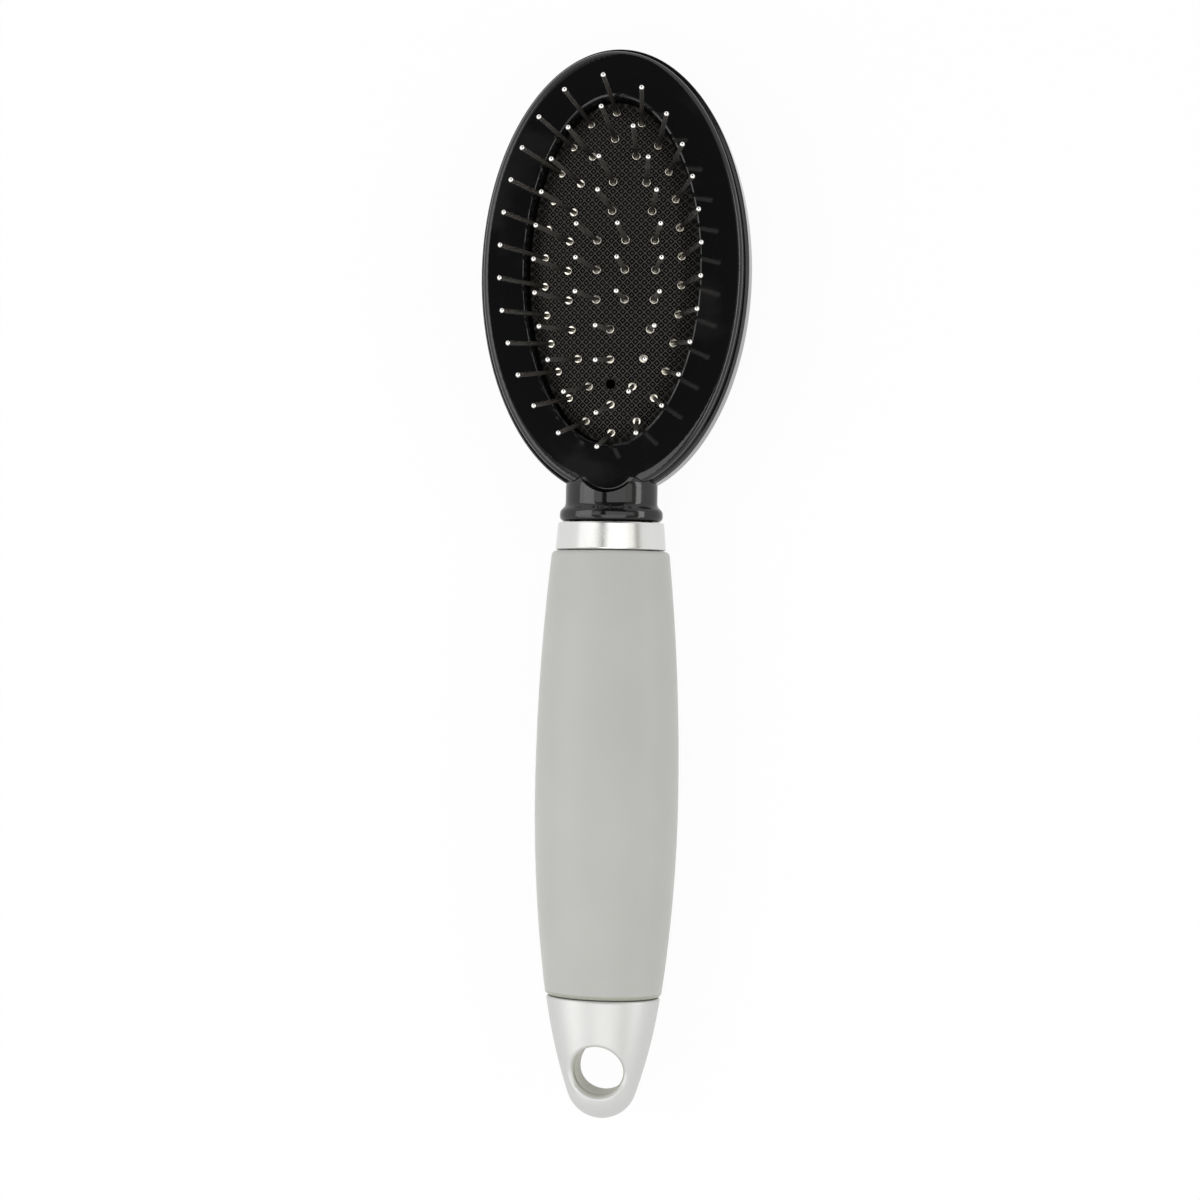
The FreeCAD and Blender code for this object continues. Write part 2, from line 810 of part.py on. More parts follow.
def bore_rims(shape):
    """Numbers of the curved edges round the one straight bore of a shape."""
    bore = [face for face in shape.Faces if isinstance(face.Surface, Part.Cylinder)][0]
    rims = []
    for number, edge in enumerate(shape.Edges, 1):
        on_bore = any(edge.isSame(other) for other in bore.Edges)
        if on_bore and not isinstance(edge.Curve, Part.Line):
            rims.append(number)
    return rims


def write_nodes(nodes):
    for item in doc.Objects:
        if "Invalid" in item.State or "Error" in item.State:
            raise RuntimeError(f"{item.Name} failed: {item.State}")
    for node in nodes:
        if node.Shape.isNull() or not node.Shape.Solids or not node.Shape.isValid():
            raise RuntimeError(f"{node.Label} has no valid shape")
    os.makedirs("parts", exist_ok=True)
    for node in nodes:
        node.Shape.exportStep(f"parts/{node.Label}.step")
        print(node.Label, len(node.Shape.Solids), round(node.Shape.Volume, 2))


def main():
    pin = make_pin()
    nodes = [make_back_shell(), make_bezel(), make_core(), make_grip(), make_collar(), make_tail_cap()]
    nodes.append(make_cushion())
    doc.recompute()
    nodes.extend(make_pin_rows(pin))
    doc.recompute()
    write_nodes(nodes)


main()
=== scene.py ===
import json
import math
from collections import Counter, defaultdict
from typing import NamedTuple

import bpy
from bpy.props import FloatProperty, FloatVectorProperty, PointerProperty
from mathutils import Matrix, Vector


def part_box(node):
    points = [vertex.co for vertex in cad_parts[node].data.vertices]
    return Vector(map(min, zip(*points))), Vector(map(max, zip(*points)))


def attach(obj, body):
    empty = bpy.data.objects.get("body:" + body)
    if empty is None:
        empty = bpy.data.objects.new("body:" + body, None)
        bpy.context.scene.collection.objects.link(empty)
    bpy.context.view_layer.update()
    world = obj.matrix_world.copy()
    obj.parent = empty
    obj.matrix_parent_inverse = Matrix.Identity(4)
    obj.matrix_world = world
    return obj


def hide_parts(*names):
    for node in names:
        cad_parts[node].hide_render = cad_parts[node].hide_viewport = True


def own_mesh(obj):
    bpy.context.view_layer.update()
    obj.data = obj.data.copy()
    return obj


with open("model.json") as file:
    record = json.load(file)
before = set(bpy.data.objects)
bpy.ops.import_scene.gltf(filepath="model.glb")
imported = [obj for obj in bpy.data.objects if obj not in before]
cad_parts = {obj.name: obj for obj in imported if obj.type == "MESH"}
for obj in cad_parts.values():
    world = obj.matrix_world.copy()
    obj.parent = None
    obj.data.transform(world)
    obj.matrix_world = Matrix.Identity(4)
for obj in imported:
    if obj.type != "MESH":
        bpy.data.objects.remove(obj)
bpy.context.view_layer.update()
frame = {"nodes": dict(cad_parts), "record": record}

bl_info = {
    "name": "Cushion Grooming Brush",
    "version": (1, 0, 0),
    "blender": (4, 5, 0),
    "location": "3D View > Sidebar > Brush",
    "description": "Dresses an oval cushion brush and lights it",
    "category": "Add Mesh",
}

PIN_NODES = [name for name in frame["nodes"] if "_pins_" in name]
MM_PER_M = 1000
WHITE = (1, 1, 1, 1)


def length(name, default, description):
    return FloatProperty(
        name=name,
        description=description,
        default=default,
        min=0,
        unit="LENGTH",
        precision=5,
    )


def share(name, default, description):
    return FloatProperty(
        name=name,
        description=description,
        default=default,
        min=0,
        max=1,
        subtype="FACTOR",
    )


def colour(name, default, description):
    return FloatVectorProperty(
        name=name,
        description=description,
        default=default,
        size=3,
        min=0,
        max=1,
        subtype="COLOR",
    )


def place(name, default, description):
    return FloatVectorProperty(
        name=name,
        description=description,
        default=default,
        size=3,
        subtype="TRANSLATION",
        unit="LENGTH",
    )


# Sizes and colours that can be changed

class BrushCushionSettings(bpy.types.PropertyGroup):
    weave_pitch: length("Weave pitch", 0.00125, "From one thread to the next")
    ridge_width: length("Ridge width", 0.00022, "Thread between two diamonds")
    groove_width: length("Groove width", 0.0002, "Slope from a thread down into its diamond")
    groove_depth: length("Groove depth", 0.0003, "Groove below its threads")
    nub_slope: length("Nub slope", 0.0001, "Slope from the groove up to the nub")
    nub_rise: length("Nub rise", 0.00025, "Nub above the groove")
    whole_share: share("Whole share", 0.82, "How near to its full size a diamond with a nub is")
    # A cut diamond's colour lies between the painted groove shade and the nub colour
    cut_tone: share("Cut tone", 0.25, "Tone of a cut diamond between groove and nub")
    smooth_angle: FloatProperty(
        name="Smooth angle",
        description="Edges that bend more than this stay sharp",
        default=math.radians(35),
        min=0,
        subtype="ANGLE",
    )
    flange_width: length("Flange width", 0.0029, "Dome's foot to the flange's edge")
    flange_thickness: length("Flange thickness", 0.0012, "Clamped flange")
    wall: length("Wall", 0.0012, "Rubber of the dome")
    pin_hole: length("Pin hole", 0.00124, "Hole that a pin goes through")
    pin_length: length("Pin length", 0.0175, "Pin above the cushion")
    pin_head_depth: length("Pin head", 0.0006, "Flat head at a pin's low end")
    vent_hole: length("Air hole", 0.0021, "Hole that lets the air out")
    vent_offset: length("Air hole's place", 0.0239, "Air hole from the head's middle towards the handle")
    cap_share: share("Cap share", 0.6, "Dome's foot of the ellipsoid that the dome is the cap of")
    kept_share: share("Kept height", 0.353, "Height that the dome keeps when the pins are pressed in")
    fill: share("Fill", 0.9, "How tight the air holds the dome")
    thread_colour: colour("Threads", (0.057, 0.0535, 0.0495), "Raised threads")
    # Painted shade: the grooves, the flange and every face that is neither thread nor nub take this
    # near-black colour
    groove_shade_colour: colour("Grooves", (0.0005, 0.0005, 0.0005), "Grooves between thread and nub")
    nub_colour: colour("Nubs", (0.051, 0.048, 0.0445), "Nubs in the diamonds")
    dust_share: share("Dust", 0.1, "How much the dust greys the weave")
    rubber_roughness: share("Rubber roughness", 0.5, "Roughness of clean rubber")
    dust_roughness: share("Dust roughness", 0.2, "What dust adds to the roughness")
    fibre_roughness: share("Fibre roughness", 0.1, "What the fibres add to the roughness")
    fibre_depth: length("Fibre depth", 0.00004, "Fine fibres pressed into the rubber")


class BrushHeadSettings(bpy.types.PropertyGroup):
    plastic_colour: colour("Black plastic", (0.006, 0.006, 0.0065), "Bezel, back shell and neck")
    scuff_colour: colour("Scuffed black", (0.012, 0.0115, 0.0115), "Where the gloss is a little worn")
    gloss: share("Gloss roughness", 0.07, "Roughness where the plastic is clean")
    worn_roughness: share("Worn roughness", 0.06, "What wear adds to the roughness")
    scratch_roughness: share("Scratch roughness", 0.04, "What scratches add to the roughness")
    peel_depth: length("Peel depth", 0.0002, "Slight waves of the moulded gloss")


class BrushHandleSettings(bpy.types.PropertyGroup):
    gel_colour: colour("Gel", (0.48, 0.483, 0.46), "Frosted gel of the grip")
    gel_shade: colour("Gel shade", (0.455, 0.46, 0.435), "Cloudier places in the gel")
    gel_depth: length("Gel depth", 0.005, "How far light spreads in the gel")
    lip_colour: colour("Gel lip", (0.34, 0.35, 0.29), "Clear rolled lip at the tail cap")
    lip_width: length("Lip width", 0.0011, "Clear rolled lip at the tail cap")
    lip_roughness: share("Lip roughness", 0.2, "Roughness of the clear lip")
    frost_roughness: share("Frost roughness", 0.16, "What the frosting adds to the lip's roughness")
    handled_roughness: share("Handled roughness", 0.16, "What handling adds to the gel's roughness")
    speckle_roughness: share("Speckle roughness", 0.08, "What the frost's speckles add to it")
    collar_colour: colour("Collar", (0.70, 0.70, 0.688), "Satin chrome of the collar")
    collar_roughness: share("Collar roughness", 0.19, "Roughness of clean satin chrome")
    turning_roughness: share("Turning roughness", 0.08, "What the turning marks add to it")
    dull_roughness: share("Dull roughness", 0.05, "What dull places add to it")
    dull_share: share("Dull share", 0.06, "Share of the metal look that dull places lose")
    cap_colour: colour("Tail cap", (0.62, 0.62, 0.608), "Pearl silver of the tail cap")
    cap_shade: colour("Tail cap shade", (0.54, 0.54, 0.53), "Darker flakes in the silver")
    cap_roughness: share("Tail cap roughness", 0.36, "Roughness of the silver paint")
    cloud_roughness: share("Cloud roughness", 0.08, "What cloudy places add to it")
    flake_roughness: share("Flake roughness", 0.08, "What the flakes add to it")
    paint_metal_share: share("Paint metal", 0.35, "Metal look of the silver paint")
    flake_metal_share: share("Flake metal", 0.2, "What the flakes add to the metal look")
    # Painted shade: the hanging hole's wall takes this darker, non-metallic colour in place of the silver
    bore_shade_colour: colour("Hole wall", (0.50, 0.50, 0.43), "Unpainted wall of the hanging hole")
    bore_line: length("Hole line", 0.0034, "Parting line in the hole, below its front rim")
    bore_line_width: length("Hole line width", 0.0006, "Parting line in the hole")
    bore_line_tone: share("Hole line tone", 0.5, "Parting line's colour as a share of the wall's")
    core_colour: colour("Core", (0.48, 0.48, 0.46), "Bar inside the grip")
    core_roughness: share("Core roughness", 0.5, "Roughness of the bar")
    mould_roughness: share("Mould roughness", 0.15, "What the mould's grain adds to it")
    grain_depth: length("Grain depth", 0.0001, "Fine grain on gel, collar, tail cap and core")


class BrushPinSettings(bpy.types.PropertyGroup):
    # Painted highlight: the up-facing tips take this colour, much lighter than the shanks' steel
    tip_colour: colour("Tips", (0.84, 0.82, 0.79), "Polished tips")
    # Painted highlight on the up-facing collars, dimmed by painted shade near the cushion
    collar_colour: colour("Collars", (0.58, 0.55, 0.485), "Polished rings on the cushion")
    shank_colour: colour("Shank", (0.40, 0.385, 0.36), "Drawn wire of the shanks")
    streak_colour: colour("Drawn streaks", (0.30, 0.285, 0.265), "Streaks along the drawn wire")
    # Painted shade on the shanks near the cushion, among the pins
    foot_shade_colour: colour("Dull steel", (0.12, 0.11, 0.10), "Feet that hair and dust have dulled")
    # The painted shade fades out between these two heights
    foot_shade_height: length("Dull height", 0.017, "Height up to which the shanks are dull")
    foot_shade_end: length("Bright height", 0.026, "Height from which the shanks are bright")
    shank_roughness: share("Shank roughness", 0.38, "Roughness of the drawn wire")
    polish: share("Polish", 0.26, "What polishing takes off the roughness")
    streak_roughness: share("Streak roughness", 0.06, "What the streaks add to the roughness")


class BrushStageSettings(bpy.types.PropertyGroup):
    floor_colour: colour("Floor", (0.9, 0.9, 0.9), "Floor that the brush lies on")
    floor_tone: share("Floor tone", 0.98, "Darker patches of the floor as a share of its colour")
    floor_size: length("Floor size", 4, "Side of the floor")
    floor_gap: length("Floor gap", 0.0001, "Floor below the brush")
    floor_glow: share("Floor white", 0.94, "Share of plain white in the floor, the rest takes the shadow")
    fill_light: share("Fill light", 0.55, "Light from all round")
    rig_height: length("Rig height", 0.6, "Soft boxes and cards above the floor")
    rig_gap: length("Rig gap", 0.01, "Neck's soft boxes below the others")
    watts_per_area: FloatProperty(
        name="Watts per area",
        description="Watts that make a square metre of soft box look white",
        default=4,
        min=0,
    )
    lens: FloatProperty(name="Lens", description="Focal length", default=72, min=1, unit="CAMERA")
    sensor: FloatProperty(name="Sensor", description="Sensor's width", default=36, min=1, unit="CAMERA")
    camera_place: place("Camera place", (0.092282, -0.012546, 0.512336), "Where the camera stands")
    camera_turn: FloatVectorProperty(
        name="Camera turn",
        description="How the camera leans from looking straight down",
        default=(0.0175, 0.1862, 0.0141),
        size=3,
        subtype="EULER",
        unit="ROTATION",
    )


# Finishes, put together node by node

class Wire:
    """A value in a finish, which sums, products and powers join to others."""

    def __init__(self, finish, socket):
        self.finish = finish
        self.socket = socket

    def join(self, operation, first, second):
        return self.finish.node("ShaderNodeMath", {"operation": operation}, {0: first, 1: second})

    def __add__(self, other):
        return self.join("ADD", self, other)

    def __radd__(self, other):
        return self.join("ADD", other, self)

    def __sub__(self, other):
        return self.join("SUBTRACT", self, other)

    def __rsub__(self, other):
        return self.join("SUBTRACT", other, self)

    def __mul__(self, other):
        return self.join("MULTIPLY", self, other)

    def __rmul__(self, other):
        return self.join("MULTIPLY", other, self)

    def __pow__(self, other):
        return self.join("POWER", self, other)

    def __rpow__(self, other):
        return self.join("POWER", other, self)


class Finish:
    """The nodes of one material or of the world."""

    def __init__(self, owner):
        self.owner = owner
        owner.use_nodes = True
        self.tree = owner.node_tree
        self.tree.nodes.clear()

    def find(self, sockets, key):
        """A socket by its number, or by its name among those in use."""
        if isinstance(key, int):
            return sockets[key]
        return [socket for socket in sockets if socket.enabled and socket.name == key][0]

    def node(self, kind, settings=None, sockets=None, output=0):
        """Adds a node, sets it, fills its sockets with values or wires, and gives one of its outputs."""
        node = self.tree.nodes.new(kind)
        for name, value in (settings or {}).items():
            setattr(node, name, value)
        for key, value in (sockets or {}).items():
            socket = self.find(node.inputs, key)
            if isinstance(value, Wire):
                self.tree.links.new(value.socket, socket)
            else:
                socket.default_value = value
        return Wire(self, self.find(node.outputs, output)) if node.outputs else None

    def grain(self, scale, detail, stretch=(1, 1, 1)):
        """Noise on the object's own coordinates, from nought to one."""
        coordinates = self.node("ShaderNodeTexCoord", output="Object")
        mapped = self.node("ShaderNodeMapping", None, {"Vector": coordinates, "Scale": stretch})
        return self.node("ShaderNodeTexNoise", None, {"Vector": mapped, "Scale": scale, "Detail": detail})

    def place(self, axis):
        """One of the object's own coordinates, in metres."""
        coordinates = self.node("ShaderNodeTexCoord", output="Object")
        return self.node("ShaderNodeSeparateXYZ", None, {"Vector": coordinates}, axis)

    def upward(self):
        """One where the surface faces up, nought where it stands upright."""
        normal = self.node("ShaderNodeTexCoord", output="Normal")
        return self.node("ShaderNodeSeparateXYZ", None, {"Vector": normal}, "Z")

    def above(self, value, start, end):
        """Nought up to the start and one from the end."""
        return self.node(
            "ShaderNodeMapRange",
            {"interpolation_type": "SMOOTHSTEP"},
            {"Value": value, "From Min": start, "From Max": end},
        )

    def mix(self, factor, first, second):
        """The first colour where the factor is nought, the second where it is one."""
        return self.node(
            "ShaderNodeMix",
            {"data_type": "RGBA"},
            {"Factor": factor, "A": first, "B": second},
            "Result",
        )

    def bump(self, height, strength, distance):
        return self.node(
            "ShaderNodeBump",
            None,
            {"Height": height, "Strength": strength, "Distance": distance},
        )

    def surface(self, sockets):
        shader = self.node("ShaderNodeBsdfPrincipled", None, sockets)
        self.node("ShaderNodeOutputMaterial", None, {"Surface": shader})
        return self.owner


def rgba(values):
    return (*values, 1)


def new_finish(name):
    return Finish(bpy.data.materials.new(name))


def gloss_black(settings):
    finish = new_finish("gloss_black")
    smudge = finish.grain(scale=70, detail=5)
    worn = finish.above(smudge, start=0.52, end=0.7)
    streak = finish.grain(scale=900, detail=4, stretch=(0.12, 1, 1))
    scratch = finish.above(streak, start=0.62, end=0.72)
    peel = finish.grain(scale=1500, detail=2)
    return finish.surface({
        "Base Color": finish.mix(worn, rgba(settings.plastic_colour), rgba(settings.scuff_colour)),
        "Roughness": settings.gloss + worn * settings.worn_roughness + scratch * settings.scratch_roughness,
        "Specular IOR Level": 0.45,
        "Normal": finish.bump(peel, strength=0.015, distance=settings.peel_depth),
    })


def frosted_gel(settings):
    finish = new_finish("frosted_gel")
    cloud = finish.above(finish.grain(scale=38, detail=3), start=0.3, end=0.75)
    speckle = finish.grain(scale=2600, detail=2)
    handled = finish.grain(scale=110, detail=4)
    tail_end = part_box("grip_sleeve")[0][1]
    body = finish.above(finish.place("Y"), tail_end + settings.lip_width / 2, tail_end + settings.lip_width)
    frosted = finish.mix(cloud, rgba(settings.gel_colour), rgba(settings.gel_shade))
    frosting = settings.lip_roughness + body * settings.frost_roughness
    marks = handled * settings.handled_roughness + speckle * settings.speckle_roughness
    return finish.surface({
        "Base Color": finish.mix(body, rgba(settings.lip_colour), frosted),
        "Roughness": frosting + marks,
        "Sheen Weight": 0.3,
        "Sheen Roughness": 0.4,
        "IOR": 1.42,
        "Subsurface Weight": 0.45,
        "Subsurface Radius": (1, 1, 0.92),
        "Subsurface Scale": settings.gel_depth,
        "Normal": finish.bump(speckle, strength=0.12, distance=settings.grain_depth),
    })


def satin_chrome(settings):
    finish = new_finish("satin_chrome")
    turning = finish.grain(scale=40, detail=5, stretch=(1, 90, 1))
    dull = finish.above(finish.grain(scale=160, detail=3), start=0.45, end=0.75)
    marks = turning * settings.turning_roughness + dull * settings.dull_roughness
    return finish.surface({
        "Base Color": rgba(settings.collar_colour),
        "Metallic": 1 - dull * settings.dull_share,
        "Roughness": settings.collar_roughness + marks,
        "Normal": finish.bump(turning, strength=0.05, distance=settings.grain_depth),
    })


def hanging_hole():
    """The middle of the hanging hole's axis, its radius and the height of its front rim."""
    mounts = frame["record"]["mounts"]
    hole = [mount for mount in mounts if mount["name"] == "hang_hole"][0]
    middle = Vector(hole["pos_m"])
    radius = hole["dims"]["r_mm"] / MM_PER_M
    front = middle.z + hole["dims"]["length_mm"] / 2 / MM_PER_M
    return middle, radius, front


# Painted shade on the hanging hole's wall, fading into full silver, as shares of the hole's radius
HOLE_SHADE_SHARE = 1.01
SILVER_SHARE = 1.1


def pearl_silver(settings):
    finish = new_finish("pearl_silver")
    flake = finish.grain(scale=5200, detail=2)
    cloud = finish.grain(scale=90, detail=3)
    middle, radius, front = hanging_hole()
    across = finish.place("X") - middle.x
    along = finish.place("Y") - middle.y
    from_axis = (across ** 2 + along ** 2) ** 0.5
    # Painted shade in the hanging hole: nought on its wall, one on the silver outside
    outside_hole_shade = finish.above(from_axis, radius * HOLE_SHADE_SHARE, radius * SILVER_SHARE)
    from_line = finish.place("Z") - (front - settings.bore_line)
    clear = finish.above(from_line ** 2, 0, settings.bore_line_width ** 2)
    line_colour = [value * settings.bore_line_tone for value in settings.bore_shade_colour]
    # Painted shade of the hole's wall, with its darker parting line
    wall = finish.mix(clear, rgba(line_colour), rgba(settings.bore_shade_colour))
    silver = finish.mix(flake, rgba(settings.cap_colour), rgba(settings.cap_shade))
    marks = cloud * settings.cloud_roughness + flake * settings.flake_roughness
    return finish.surface({
        "Base Color": finish.mix(outside_hole_shade, wall, silver),
        "Metallic": outside_hole_shade * (settings.paint_metal_share + flake * settings.flake_metal_share),
        "Roughness": settings.cap_roughness + marks,
        "Normal": finish.bump(flake, strength=0.05, distance=settings.grain_depth),
    })


def core_plastic(settings):
    finish = new_finish("core_plastic")
    mould = finish.grain(scale=900, detail=3)
    return finish.surface({
        "Base Color": rgba(settings.core_colour),
        "Roughness": settings.core_roughness + mould * settings.mould_roughness,
        "Normal": finish.bump(mould, strength=0.1, distance=settings.grain_depth),
    })


def pin_steel(settings):
    finish = new_finish("pin_steel")
    drawn = finish.grain(scale=1800, detail=3, stretch=(1, 1, 0.06))
    # Painted shade: nought near the cushion, one higher up, so feet and collars take darker colours
    high = finish.above(finish.place("Z"), settings.foot_shade_height, settings.foot_shade_end)
    # Painted highlight where the steel faces up, on tips and collars; the same mask also lowers their
    # roughness, as real polish does
    polish_and_highlight = finish.above(finish.upward(), start=0.2, end=0.5)
    wire = finish.mix(drawn, rgba(settings.shank_colour), rgba(settings.streak_colour))
    shank = finish.mix(high, rgba(settings.foot_shade_colour), wire)
    # Painted highlight colours for the up-facing steel, darker on the low collars as painted shade
    bright = finish.mix(high, rgba(settings.collar_colour), rgba(settings.tip_colour))
    streaked = settings.shank_roughness + drawn * settings.streak_roughness
    return finish.surface({
        "Base Color": finish.mix(polish_and_highlight, shank, bright),
        "Metallic": 1,
        "Roughness": streaked - polish_and_highlight * settings.polish,
    })


def woven_rubber(settings):
    finish = new_finish("woven_rubber")
    thread = finish.node("ShaderNodeAttribute", {"attribute_name": "thread"}, output="Fac")
    nub = finish.node("ShaderNodeAttribute", {"attribute_name": "nub"}, output="Fac")
    dust = finish.grain(scale=120, detail=5)
    dusty = finish.above(dust, start=0.5, end=0.8)
    fibre = finish.grain(scale=6000, detail=2)
    # Painted shade where a face is neither thread nor nub
    in_diamond = finish.mix(nub, rgba(settings.groove_shade_colour), rgba(settings.nub_colour))
    woven = finish.mix(thread, in_diamond, rgba(settings.thread_colour))
    marks = dust * settings.dust_roughness + fibre * settings.fibre_roughness
    return finish.surface({
        "Base Color": finish.mix(dusty * settings.dust_share, woven, rgba(settings.thread_colour)),
        "Roughness": settings.rubber_roughness + marks,
        "Specular IOR Level": 0.08,
        "Normal": finish.bump(fibre, strength=0.15, distance=settings.fibre_depth),
    })


def wear_finish(names, material):
    for name in names:
        for slot in frame["nodes"][name].material_slots:
            slot.material = material


# The woven cushion

# Faces of a whole diamond, two by two
DIAMOND_FACES = 4
# How near to the rim the middle of a face is that goes, as a share of its side
RIM_SHARE = 0.5
# How deep in a hole the middle of a face is that goes, as a share of its side
HOLE_SHARE = 0.25
# Share of a thread within which corners are merged
MERGE_SHARE = 1 / 3
# How near to the dome a face of its top lies, as a share of the wall
TOP_SHARE = 1 / 3
# How near to the dome a face lies that isn't sunk, as a share of the groove's depth
LEVEL_SHARE = 1 / 8


class Dome:
    """The cushion's cap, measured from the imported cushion."""

    def __init__(self, settings):
        low, high = (Vector(corner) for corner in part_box("cushion"))
        self.middle = (low + high) / 2
        self.half_width = (high.x - low.x) / 2 - settings.flange_width
        self.half_length = (high.y - low.y) / 2 - settings.flange_width
        self.seat = low.z + settings.flange_thickness
        self.crown = high.z - self.seat
        self.cap = settings.cap_share
        self.sink = math.sqrt(1 - self.cap ** 2)

    def reach(self, point, inset=0):
        """Nought in the middle and one at the dome's foot, or at that inset from it."""
        across = (point.x - self.middle.x) / (self.half_width - inset)
        along = (point.y - self.middle.y) / (self.half_length - inset)
        return math.hypot(across, along)

    def height(self, point):
        rise = math.sqrt(1 - (self.cap * min(self.reach(point), 1)) ** 2)
        return self.seat + self.crown * (rise - self.sink) / (1 - self.sink)


def pin_feet(settings):
    """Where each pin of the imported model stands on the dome, seen from above."""
    feet = []
    for name in PIN_NODES:
        points = [vertex.co for vertex in frame["nodes"][name].data.vertices]
        paired = max(abs(point.x) for point in points) > settings.pin_hole
        sides = (-1, 1) if paired else (0,)
        for side in sides:
            pin = [point for point in points if point.x * side > 0 or side == 0]
            tip = max(pin, key=lambda point: point.z)
            depth = max((point - tip).length for point in pin) - settings.pin_head_depth
            head = [point for point in pin if (point - tip).length > depth]
            low_end = sum(head, Vector()) / len(head)
            feet.append(tip + (low_end - tip).normalized() * settings.pin_length)
    return feet


def choose(piece, kind, items):
    """Selects just these faces or edges of the piece, by number, and leaves it in edit mode."""
    bpy.ops.object.mode_set(mode="EDIT")
    bpy.ops.mesh.select_mode(type=kind)
    bpy.ops.mesh.select_all(action="DESELECT")
    bpy.ops.object.mode_set(mode="OBJECT")
    parts = piece.data.polygons if kind == "FACE" else piece.data.edges
    for item in items:
        parts[item].select = True
    bpy.ops.object.mode_set(mode="EDIT")


def drop_faces(piece, faces):
    choose(piece, "FACE", faces)
    bpy.ops.mesh.delete(type="FACE")
    bpy.ops.object.mode_set(mode="OBJECT")


def rim_keys(mesh):
    """The edges that belong to one face alone."""
    counts = Counter(key for face in mesh.polygons for key in face.edge_keys)
    return {key for key, count in counts.items() if count == 1}


def rim_loops(mesh):
    """The corners of each open rim, the longest rim last."""
    neighbours = defaultdict(set)
    for start, end in rim_keys(mesh):
        neighbours[start].add(end)
        neighbours[end].add(start)
    loops = []
    while neighbours:
        loop = set()
        reached = [next(iter(neighbours))]
        while reached:
            corner = reached.pop()
            loop.add(corner)
            reached.extend(neighbours.pop(corner, ()))
        loops.append(loop)
    return sorted(loops, key=len)


def flat(point):
    """The point seen from above."""
    return Vector((point.x, point.y, 0))


def diamond_face_side(settings):
    """Side of one of the four faces of a diamond."""
    return (settings.weave_pitch - settings.ridge_width) / 2


def lay_weave(settings, dome):
    """A diagonal net of threads and diamonds, wider than the dome, with its number on each diamond.

    The grid starts with its lines one unit apart, so that whole numbers tell which line a corner is
    on. The corners then move to the threads' edges and to the middle lines of the diamonds.
    """
    pitch = settings.weave_pitch
    lines = (-settings.ridge_width / 2, settings.ridge_width / 2, pitch / 2)
    half = math.hypot(dome.half_width, dome.half_length) / math.sqrt(2)
    count = 2 * math.ceil(half / pitch)
    stride = 2 * count
    bpy.ops.object.select_all(action="DESELECT")
    bpy.ops.mesh.primitive_grid_add(
        x_subdivisions=count * len(lines),
        y_subdivisions=count * len(lines),
        size=count * len(lines),
        location=flat(dome.middle),
        rotation=(0, 0, math.pi / 4),
    )
    pad = bpy.context.object
    pad.name = "cushion_pad"
    number = pad.data.attributes.new("diamond", "INT", "FACE")
    for face in pad.data.polygons:
        row, row_line = divmod(math.floor(face.center.x), len(lines))
        column, column_line = divmod(math.floor(face.center.y), len(lines))
        if row_line > 0 and column_line > 0:
            number.data[face.index].value = (row + count) * stride + column + count
    for vertex in pad.data.vertices:
        for axis in range(2):
            whole, line = divmod(round(vertex.co[axis]), len(lines))
            vertex.co[axis] = whole * pitch + lines[line]
    bpy.ops.object.transform_apply(location=True, rotation=True, scale=True)
    return pad


def trim_weave(pad, settings, dome, holes):
    """Cuts the net to the dome's outline and its holes, and lifts it onto the dome."""
    mesh = pad.data
    side = diamond_face_side(settings)
    outside = [face.index for face in mesh.polygons if dome.reach(face.center, side * RIM_SHARE) > 1]
    drop_faces(pad, outside)
    open_faces = set()
    for foot, radius in holes:
        reach = radius - side * HOLE_SHARE
        for face in mesh.polygons:
            if (flat(face.center) - flat(foot)).length < reach:
                open_faces.add(face.index)
    drop_faces(pad, open_faces)
    # Faces that hang on by one edge go too
    loose = True
    while loose:
        rims = rim_keys(mesh)
        loose = [face.index for face in mesh.polygons if sum(key in rims for key in face.edge_keys) > 2]
        drop_faces(pad, loose)
    *openings, outer = rim_loops(mesh)
    for index in outer:
        point = mesh.vertices[index].co
        point.xy = (dome.middle + (point - dome.middle) / dome.reach(point)).xy
    for opening in openings:
        middle = sum((mesh.vertices[index].co for index in opening), Vector()) / len(opening)
        foot, radius = min(holes, key=lambda hole: (flat(hole[0]) - middle).length)
        for index in opening:
            point = mesh.vertices[index].co
            point.xy = (flat(foot) + (point - flat(foot)).normalized() * radius).xy
    for vertex in mesh.vertices:
        vertex.co.z = dome.height(vertex.co)
    bpy.ops.object.mode_set(mode="EDIT")
    bpy.ops.mesh.select_all(action="SELECT")
    bpy.ops.mesh.remove_doubles(threshold=settings.ridge_width * MERGE_SHARE)
    bpy.ops.object.mode_set(mode="OBJECT")


def add_flange(pad, settings, dome):
    """Draws the dome's foot out into the flange and gives the sheet its wall."""
    rims = rim_keys(pad.data)
    outer = rim_loops(pad.data)[-1]
    edges = [edge.index for edge in pad.data.edges if set(edge.vertices) <= outer and edge.key in rims]
    choose(pad, "EDGE", edges)
    bpy.ops.mesh.extrude_edges_move()
    bpy.ops.transform.resize(
        value=(
            1 + settings.flange_width / dome.half_width,
            1 + settings.flange_width / dome.half_length,
            1,
        ),
        center_override=dome.middle,
    )
    bpy.ops.object.mode_set(mode="OBJECT")
    wall = pad.modifiers.new("wall", "SOLIDIFY")
    wall.thickness = settings.wall
    wall.offset = -1
    bpy.ops.object.modifier_apply(modifier=wall.name)


